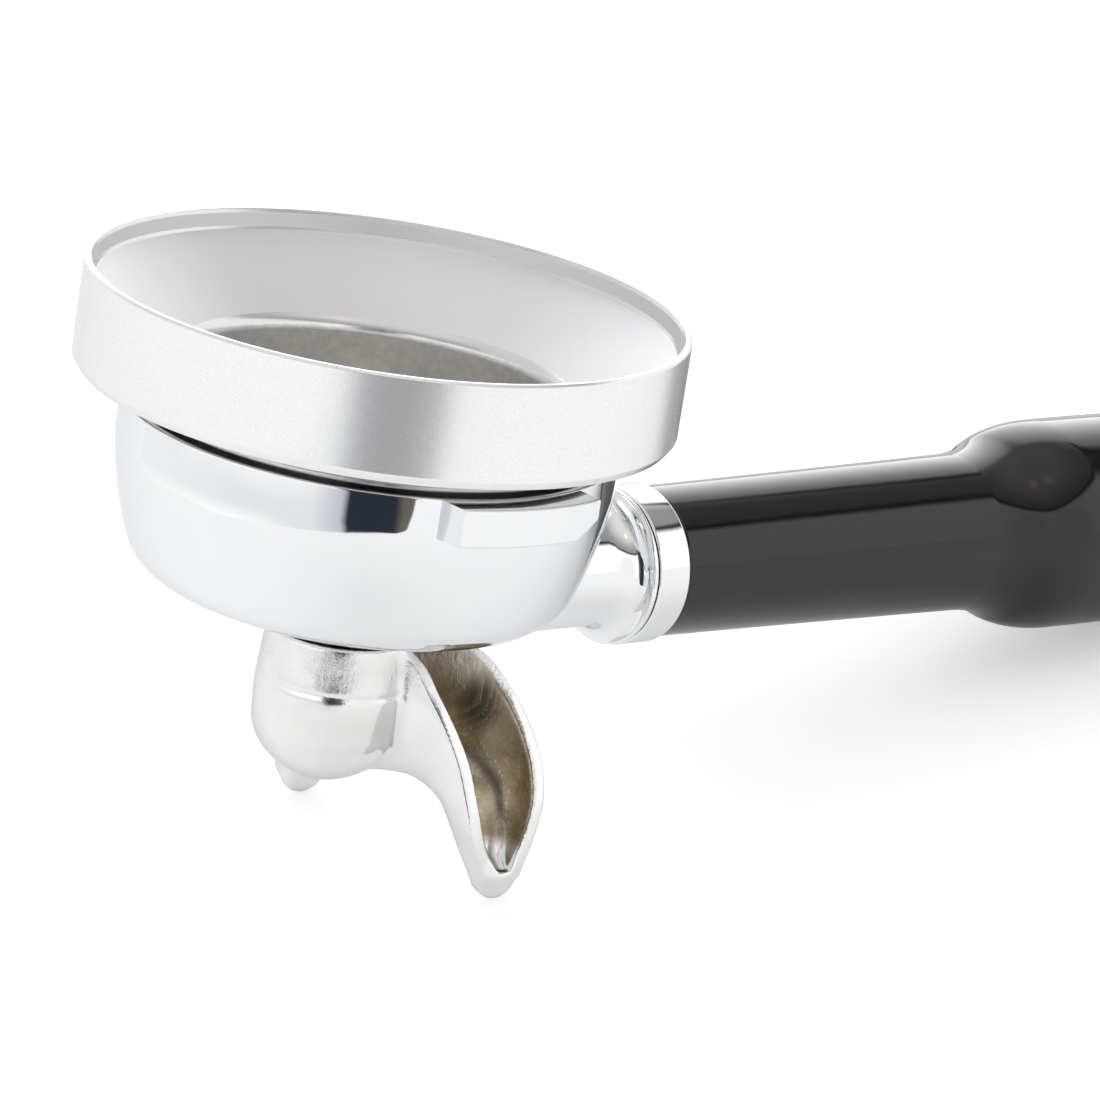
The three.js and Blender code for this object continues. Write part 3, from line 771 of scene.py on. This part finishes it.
class Nodes:
    """Short ways to add nodes to a tree."""

    def put(self, value, socket):
        """Links the socket to a node's output, or sets its number, vector or colour."""
        if isinstance(value, bpy.types.NodeSocket):
            self.tree.links.new(value, socket)
        elif socket.type == "RGBA":
            socket.default_value = (*value, 1)
        else:
            socket.default_value = value

    def add(self, kind, output, inputs, **settings):
        node = self.tree.nodes.new("ShaderNode" + kind)
        for name, value in settings.items():
            setattr(node, name, value)
        for socket, value in inputs.items():
            self.put(value, node.inputs[socket])
        return node.outputs[output]

    def math(self, operation, first, second):
        return self.add("Math", "Value", {0: first, 1: second}, operation=operation)

    def mixed(self, amount, low, high, kind="RGBA"):
        """From low to high by the amount, for colours or, with kind FLOAT, numbers."""
        node = self.tree.nodes.new("ShaderNodeMix")
        node.data_type = kind
        kind = "VALUE" if kind == "FLOAT" else kind
        self.put(amount, node.inputs["Factor"])
        for name, value in (("A", low), ("B", high)):
            self.put(value, next(i for i in node.inputs if i.name == name and i.type == kind))
        return next(o for o in node.outputs if o.type == kind)


class Finish(Nodes):
    """A material and what its nodes are made of."""

    def __init__(self, name, **sockets):
        self.material = bpy.data.materials.new(name)
        self.material.use_nodes = True
        self.tree = self.material.node_tree
        self.shader = self.tree.nodes["Principled BSDF"]
        for socket, value in sockets.items():
            self.shader.inputs[socket.replace("_", " ")].default_value = value
        self.place = self.tree.nodes.new("ShaderNodeTexCoord").outputs["Object"]

    def noise(self, scale, detail=4, roughness=0.55, stretch=(1, 1, 1)):
        where = self.add("Mapping", "Vector", {"Vector": self.place, "Scale": stretch})
        return self.add("TexNoise", "Fac", {
            "Vector": where, "Scale": scale, "Detail": detail, "Roughness": roughness})

    def patch(self, centre, size):
        """1 in the middle of an ellipse on the ground, fading to 0 at its edge."""
        where = self.add("Mapping", "Vector", {
            "Vector": self.place,
            "Scale": (1 / size[0], 1 / size[1], 0),
            "Location": (-centre[0] / size[0], -centre[1] / size[1], 0)})
        return self.add("TexGradient", "Fac", {"Vector": where}, gradient_type="SPHERICAL")

    def spread(self, value, low, high, start=0.3, end=0.7):
        """A value between start and end mapped to low and high."""
        return self.add("MapRange", "Result", {
            "Value": value, "From Min": start, "From Max": end, "To Min": low, "To Max": high})

    def ramp(self, value, *stops):
        """Colours along a value, from stops of (position, colour)."""
        node = self.tree.nodes.new("ShaderNodeValToRGB")
        elements = node.color_ramp.elements
        while len(elements) < len(stops):
            elements.new(0.5)
        for element, (position, colour) in zip(elements, stops):
            element.position = position
            element.color = (*colour, 1)
        self.put(value, node.inputs["Fac"])
        return node.outputs["Color"]

    def between(self, value, low, high):
        """One colour where a noise is low, fading to another where it is high."""
        return self.ramp(value, (0.3, low), (0.7, high))

    def bump(self, height, distance, strength=1.0, under=None):
        """The surface's direction with this relief, on top of another bump."""
        inputs = {"Height": height, "Distance": distance, "Strength": strength}
        if under is not None:
            inputs["Normal"] = under
        return self.add("Bump", "Normal", inputs)

    def marked(self, name):
        """The number that mark() kept under this name."""
        return self.add("Attribute", "Fac", {}, attribute_name=name)

    def use(self, socket, value):
        self.tree.links.new(value, self.shader.inputs[socket])
        return self


def mirror_chrome():
    """Polished chrome, a little wavy, and dimmer where it is seen edge on."""
    finish = Finish("mirror_chrome", Metallic=1.0, Specular_Tint=(0.84, 0.86, 0.885, 1))
    haze = finish.noise(90, 5)
    finish.use("Base Color", finish.between(
        haze, (0.81, 0.82, 0.828), (0.835, 0.841, 0.846)))
    finish.use("Roughness", finish.spread(haze, 0.02, 0.06))
    waves = finish.bump(finish.noise(70, 1), 0.00025, 0.5)
    finish.use("Normal", finish.bump(finish.noise(900, 2), 0.000004, 0.5, waves))
    return finish.material


def plated_casting():
    """Plated brass casting: glossy outside, bare and brassy where it is marked as lining."""
    finish = Finish("plated_casting", Metallic=1.0, Specular_Tint=(0.74, 0.75, 0.76, 1))
    lining = finish.marked("lining")
    patches = finish.noise(160, 6)
    plate = finish.between(patches, (0.76, 0.757, 0.745), (0.82, 0.82, 0.815))
    brass = finish.ramp(
        finish.noise(110, 6, 0.65),
        (0.3, (0.24, 0.185, 0.11)), (0.5, (0.43, 0.355, 0.24)), (0.7, (0.60, 0.54, 0.43)))
    cream = finish.between(patches, (0.55, 0.50, 0.42), (0.70, 0.65, 0.57))
    # the dark colour of the painted reflection in each channel
    reflected_dark = finish.between(patches, (0.06, 0.05, 0.038), (0.13, 0.105, 0.075))
    # the lining is paler towards the top
    brass = finish.mixed(finish.marked("paler_above"), brass, cream)
    # paints the dark reflection into each channel's lining
    brass = finish.mixed(finish.marked("painted_reflection"), brass, reflected_dark)
    finish.use("Base Color", finish.mixed(lining, plate, brass))
    worn = finish.marked("scuffed")
    plate_roughness = finish.mixed(
        worn, finish.spread(patches, 0.09, 0.17), finish.spread(patches, 0.13, 0.26), "FLOAT")
    finish.use("Roughness", finish.mixed(
        lining, plate_roughness, finish.spread(patches, 0.28, 0.42), "FLOAT"))
    waves = finish.bump(finish.noise(190, 2), 0.00018, 0.45)
    scratches = finish.bump(finish.noise(1500, 4, 0.7, (1, 1, 0.18)), 0.000012, 0.6, waves)
    wear = finish.noise(700, 5, 0.75, (1, 1, 0.5))
    scuffs = finish.bump(finish.math("MULTIPLY", wear, worn), 0.0003, 0.9, scratches)
    finish.use("Normal", finish.bump(finish.noise(3200, 3), 0.000008, 0.5, scuffs))
    return finish.material


def turned_aluminium():
    """Bead-blasted outside, glossier on the cut edges, rougher on the cone, mottled in the spigot.
    """
    finish = Finish(
        "turned_aluminium", Metallic=0.62, IOR=1.25, Specular_Tint=(0.76, 0.76, 0.76, 1))
    cut, spigot, cone = (finish.marked(name) for name in ("cut", "spigot", "cone"))
    grain = finish.noise(5200, 2, 0.7)
    cloud = finish.noise(60, 3)
    blasted = finish.ramp(
        grain, (0.3, (0.76, 0.765, 0.77)), (0.5, (0.85, 0.85, 0.85)), (0.7, (0.93, 0.93, 0.92)))
    bright = finish.between(cloud, (0.80, 0.80, 0.805), (0.83, 0.83, 0.83))
    warm = finish.ramp(
        finish.noise(700, 5, 0.65), (0.35, (0.78, 0.77, 0.75)), (0.65, (0.93, 0.92, 0.90)))
    smooth = finish.between(cloud, (0.765, 0.765, 0.77), (0.78, 0.78, 0.78))
    colour = finish.mixed(cone, finish.mixed(cut, blasted, bright), smooth)
    finish.use("Base Color", finish.mixed(spigot, colour, warm))
    satin = finish.mixed(
        cone, finish.spread(grain, 0.15, 0.26), finish.spread(grain, 0.44, 0.52), "FLOAT")
    finish.use("Roughness", finish.mixed(cut, satin, finish.spread(grain, 0.12, 0.17), "FLOAT"))
    finish.use("Normal", finish.bump(grain, 0.000016, 0.9))
    return finish.material


def satin_steel():
    finish = Finish("satin_steel", Metallic=1.0)
    mottle = finish.noise(420, 6)
    finish.use("Base Color", finish.between(mottle, (0.60, 0.58, 0.55), (0.74, 0.72, 0.69)))
    finish.use("Roughness", finish.spread(mottle, 0.28, 0.42))
    finish.use("Normal", finish.bump(finish.noise(1800, 3), 0.00002, 0.5))
    return finish.material


def plated_steel():
    finish = Finish("plated_steel", Metallic=1.0)
    mottle = finish.noise(700, 4)
    finish.use("Base Color", finish.between(mottle, (0.48, 0.48, 0.49), (0.64, 0.64, 0.65)))
    finish.use("Roughness", finish.spread(mottle, 0.25, 0.4))
    finish.use("Normal", finish.bump(finish.noise(2600, 3), 0.00001, 0.5))
    return finish.material


def black_thermoset():
    finish = Finish("black_thermoset", Metallic=0.0, IOR=1.48)
    cloud = finish.noise(70, 4)
    finish.use("Base Color", finish.between(
        cloud, (0.006, 0.006, 0.0065), (0.009, 0.0085, 0.0085)))
    finish.use("Roughness", finish.spread(cloud, 0.05, 0.10))
    finish.use("Normal", finish.bump(finish.noise(150, 2), 0.00004, 0.4))
    return finish.material


def black_rubber():
    finish = Finish("black_rubber", Metallic=0.0)
    cloud = finish.noise(500, 3)
    finish.use("Base Color", finish.between(cloud, (0.02, 0.019, 0.018), (0.035, 0.033, 0.031)))
    finish.use("Roughness", finish.spread(cloud, 0.5, 0.65))
    finish.use("Normal", finish.bump(cloud, 0.00002, 0.4))
    return finish.material


# ---- stage, light and camera -----------------------------------------

WHITE = 1.25  # radiance of the white surroundings, a little over full exposure
BACKDROP = (2.3, 2.3, 2.32)
CEILING_EDGE, BACKDROP_SLOPE = 0.56, 2.0  # where the dim ceiling starts, as parts of a direction
CEILING_LOW, CEILING_TOP, CEILING_FRONT = (0.26,) * 3, (0.68,) * 3, (0.62, 0.61, 0.59)
EDGE_LINE = (0.03, 0.035, 0.045)  # the dark line along the ceiling's edge
# Dimmer parts of the walls: azimuth and elevation in degrees, the cosines at the edge and at the
# full colour, and the colour.
WALL_PATCHES = [
    (-150, 5, 0.5, 0.9, (0.84, 0.86, 0.87)),
    (-150, 55, 0.72, 0.95, (0.62, 0.63, 0.65)),
    (15, 8, 0.88, 0.98, (0.86, 0.85, 0.85)),
]
LAMP, LAMP_COLOUR = (24, 65, 0.993, 0.999), (1.15, 0.92, 0.76)


class Surroundings(Nodes):
    """The world's colour as a function of direction."""

    def __init__(self):
        world = bpy.data.worlds.new("studio")
        bpy.context.scene.world = world
        world.use_nodes = True
        self.tree = world.node_tree
        self.background = self.tree.nodes["Background"]
        self.direction = self.tree.nodes.new("ShaderNodeTexCoord").outputs["Generated"]
        split = self.tree.nodes.new("ShaderNodeSeparateXYZ")
        self.put(self.direction, split.inputs["Vector"])
        self.x, self.y, self.z = split.outputs

    def step(self, value, start, end):
        """A smooth step from 0 at the start to 1 at the end."""
        return self.add("MapRange", "Result", {
            "Value": value, "From Min": start, "From Max": end}, interpolation_type="SMOOTHSTEP")

    def toward(self, azimuth, elevation, start, end):
        """1 near a direction in degrees, 0 further away, by the cosine of the angle."""
        a, e = math.radians(azimuth), math.radians(elevation)
        aim = (math.sin(a) * math.cos(e), -math.cos(a) * math.cos(e), math.sin(e))
        cosine = self.add(
            "VectorMath", "Value", {0: self.direction, 1: aim}, operation="DOT_PRODUCT")
        return self.step(cosine, start, end)

    def show(self, colour, strength):
        self.put(colour, self.background.inputs["Color"])
        self.put(strength, self.background.inputs["Strength"])


def surroundings():
    """White walls, a brighter backdrop behind the object, a dim ceiling and one warm lamp."""
    sky = Surroundings()
    behind = sky.math("MULTIPLY", sky.step(sky.y, 0.25, 0.7), sky.step(sky.x, 0, 0.4))
    walls = sky.mixed(behind, (1, 1, 1), BACKDROP)
    for *where, colour in WALL_PATCHES:
        walls = sky.mixed(sky.toward(*where), walls, colour)
    above = sky.step(sky.z, CEILING_EDGE - 0.03, CEILING_EDGE + 0.02)
    slope = sky.math("SUBTRACT", sky.z, sky.math("MULTIPLY", sky.y, BACKDROP_SLOPE))
    ceiling = sky.mixed(sky.step(sky.z, 0.6, 0.95), CEILING_LOW, CEILING_TOP)
    ceiling = sky.mixed(sky.step(slope, -0.1, 0.5), CEILING_FRONT, ceiling)
    ceiling = sky.mixed(sky.toward(*LAMP), ceiling, LAMP_COLOUR)
    line = sky.math("SUBTRACT", above, sky.step(sky.z, CEILING_EDGE + 0.025, CEILING_EDGE + 0.05))
    ceiling = sky.mixed(line, ceiling, EDGE_LINE)
    dim = sky.math("MULTIPLY", above, sky.step(slope, -0.15, 0.1))
    sky.show(sky.mixed(dim, walls, ceiling), WHITE)


SHOWN_GLOW, SHOWN_SHADE = 0.43, 0.89  # the floor that the camera sees is white all over
BOUNCE_GLOW, BOUNCE_SHADE = 0.27, 0.08  # the one that lights the object has a painted shadow by the handle
# the ellipse of the painted shadow on the floor by the handle
SHADE_CENTRE, SHADE_SIZE = (0.12, 0.055), (0.15, 0.085)
FLOOR_SIZE, FLOOR_GAP = 4, 0.0001  # the gap keeps the two from lighting each other


def floor(name, height, glow, shade, rays):
    """A white sheet that glows a little, with a painted shadow of this grey by the handle, seen
    only by these rays.
    """
    mesh = bmesh.new()
    bmesh.ops.create_grid(mesh, x_segments=8, y_segments=8, size=FLOOR_SIZE)
    sheet = linked(name, finished(mesh, name))
    sheet.location.z = height
    paper = Finish(name, Metallic=0.0, Emission_Strength=glow, Specular_IOR_Level=0.0)
    tone = paper.noise(3, 2)
    white = paper.between(tone, (0.88, 0.88, 0.88), (0.90, 0.90, 0.90))
    grey = paper.between(tone, (shade,) * 3, (shade,) * 3)
    # paints the shadow by the handle
    nearness = paper.spread(paper.patch(SHADE_CENTRE, SHADE_SIZE), 0, 1, 0, 0.7)
    sheet_colour = paper.mixed(nearness, white, grey)
    paper.use("Base Color", sheet_colour).use("Emission Color", sheet_colour)
    paper.use("Roughness", paper.spread(tone, 0.8, 0.9))
    sheet.data.materials.append(paper.material)
    only_seen_by(sheet, rays)


def only_seen_by(thing, rays):
    for ray in ("camera", "diffuse", "glossy", "shadow", "transmission", "volume_scatter"):
        setattr(thing, "visible_" + ray, ray in rays)


# The cards between the object and the camera, seen only in reflections. Azimuths are in degrees
# and heights in metres. Each tone fades in from its first azimuth to its second.
CARD_DISTANCE, CARD_START, CARD_END = 0.22, -150, -16
DARK_START, DARK_TOP, GREY_TOP = -49, 0.24, 0.066
DARK_ROWS, GREY_ROWS = 4, 40
CARD_TONES = [
    (-160, -150, (1.03, 1.04, 1.05)),
    (-145, -70, (0.90, 0.92, 0.945)),
    (-60, -50, (0.64, 0.68, 0.72)),
    (DARK_START, -46, (0.028, 0.033, 0.048)),
    (-27, -24, (0.15, 0.14, 0.12)),
]
TOP_FADE, FOOT_FADE = (0.046, 0.064), (0.02, 0)  # heights over which a grey card turns white
CARD_FOOT, FOOT_RISE = 0.001, 0.05


def share(value, start, end):
    """How far a value is from start to end, between 0 and 1."""
    return min(1, max(0, (value - start) / (end - start)))


def card_colour(azimuth, height):
    """A low grey card at the left, a dark blue one and its brown-grey right edge."""
    colour = np.array((1.0, 1.0, 1.0)) * WHITE
    for start, end, tone in CARD_TONES:
        amount = share(azimuth, start, end)
        colour = colour * (1 - amount) + np.array(tone) * amount
    if azimuth < DARK_START:
        fade = share(height, *TOP_FADE) + share(height, *FOOT_FADE) * share(azimuth, -68, -95)
        plain = WHITE - 0.13 * share(azimuth, -80, -140)
        colour = colour * (1 - fade) + np.array((1, 1, 1)) * plain * fade
    return tuple(colour)


def card_foot(azimuth):
    """The card's foot, which rises towards its right end."""
    return CARD_FOOT + FOOT_RISE * share(azimuth, -26, CARD_END) ** 1.3


def front_card(name, start, end, top, rows):
    """A curved card standing round the object from one azimuth to another."""
    centre = Vector((BASKET_FRAME.translation.x, 0, 0))
    mesh = bmesh.new()
    columns = []
    tones = []
    for azimuth in range(start, end + 1):
        a = math.radians(azimuth)
        foot = centre + Vector((math.sin(a), -math.cos(a), 0)) * CARD_DISTANCE
        low = card_foot(azimuth)
        column = []
        for row in range(rows + 1):
            height = low + (top - low) * row / rows
            column.append(mesh.verts.new(foot + Vector((0, 0, height))))
            tones.append((*card_colour(azimuth, height), 1))
        columns.append(column)
    for left, right in zip(columns, columns[1:]):
        for i in range(rows):
            mesh.faces.new((left[i], right[i], right[i + 1], left[i + 1]))
    made = finished(mesh, name)
    shade = made.color_attributes.new("shade", "FLOAT_COLOR", "POINT")
    shade.data.foreach_set("color", np.array(tones, np.float32).ravel())
    card = linked(name, made)
    only_seen_by(card, ("glossy",))
    made.materials.append(glowing_card())


def glowing_card():
    material = bpy.data.materials.new("card")
    material.use_nodes = True
    tree = material.node_tree
    tree.nodes.clear()
    colour = tree.nodes.new("ShaderNodeVertexColor")
    colour.layer_name = "shade"
    glow = tree.nodes.new("ShaderNodeEmission")
    output = tree.nodes.new("ShaderNodeOutputMaterial")
    tree.links.new(colour.outputs["Color"], glow.inputs["Color"])
    tree.links.new(glow.outputs["Emission"], output.inputs["Surface"])
    return material


CAMERA_AZIMUTH, CAMERA_ELEVATION, CAMERA_ROLL = -39.8, 22.7, 1.5  # degrees
CAMERA_LENS, CAMERA_SENSOR = 241.3, 36
CAMERA_DISTANCE = 1.1122
CAMERA_AIM = Vector((0.0349, 0, -0.0291))  # from the middle of the body's rim


def camera():
    data = bpy.data.cameras.new("camera")
    data.lens = CAMERA_LENS
    data.sensor_width = CAMERA_SENSOR
    made = linked("camera", data)
    azimuth, elevation = math.radians(CAMERA_AZIMUTH), math.radians(CAMERA_ELEVATION)
    back = Vector((math.sin(azimuth) * math.cos(elevation),
                   -math.cos(azimuth) * math.cos(elevation), math.sin(elevation)))
    aim = BASKET_FRAME.translation + CAMERA_AIM
    turn = back.to_track_quat("Z", "Y") @ Matrix.Rotation(
        math.radians(CAMERA_ROLL), 3, "Z").to_quaternion()
    made.rotation_mode = "QUATERNION"
    made.location = aim + back * CAMERA_DISTANCE
    made.rotation_quaternion = turn
    bpy.context.scene.camera = made


# ---- assembly --------------------------------------------------------

def finish_piece(piece, material, body, node):
    piece.data.materials.clear()
    piece.data.materials.append(material)
    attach(piece, body)
    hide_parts(node)


camera()
surroundings()
floor("shown_floor", 0, SHOWN_GLOW, SHOWN_SHADE, ("camera",))
floor("bounce_floor", -FLOOR_GAP, BOUNCE_GLOW, BOUNCE_SHADE,
      ("diffuse", "glossy", "shadow", "transmission"))
front_card("grey_card", CARD_START, DARK_START, GREY_TOP, GREY_ROWS)
front_card("dark_card", DARK_START, CARD_END, DARK_TOP, DARK_ROWS)

chrome = mirror_chrome()
zinc = plated_steel()
black = black_thermoset()
washer_start = POCKET_FLOOR + GAP
lock_start = washer_start + WASHER_THICKNESS + GAP
head_start = lock_start + LOCK_THICKNESS + GAP

finish_piece(portafilter_body(), chrome, "holder", "portafilter_body")
finish_piece(basket_spring(), zinc, "holder", "basket_retaining_spring")
finish_piece(filter_basket(), satin_steel(), "basket", "filter_basket")
finish_piece(dosing_funnel(), turned_aluminium(), "funnel", "dosing_funnel")
finish_piece(double_spout(), plated_casting(), "spout", "double_spout")
finish_piece(spout_seal(), black_rubber(), "holder", "spout_seal")
finish_piece(handle_collar(), chrome, "holder", "handle_collar")
finish_piece(handle_grip(), black, "holder", "handle_grip")
finish_piece(handle_bolt(head_start), zinc, "holder", "handle_bolt")
finish_piece(flat_washer(washer_start), zinc, "holder", "flat_washer")
finish_piece(spring_washer(lock_start), zinc, "holder", "spring_washer")
finish_piece(end_plug(), black, "holder", "end_plug")

bpy.context.scene.view_settings.view_transform = "Standard"
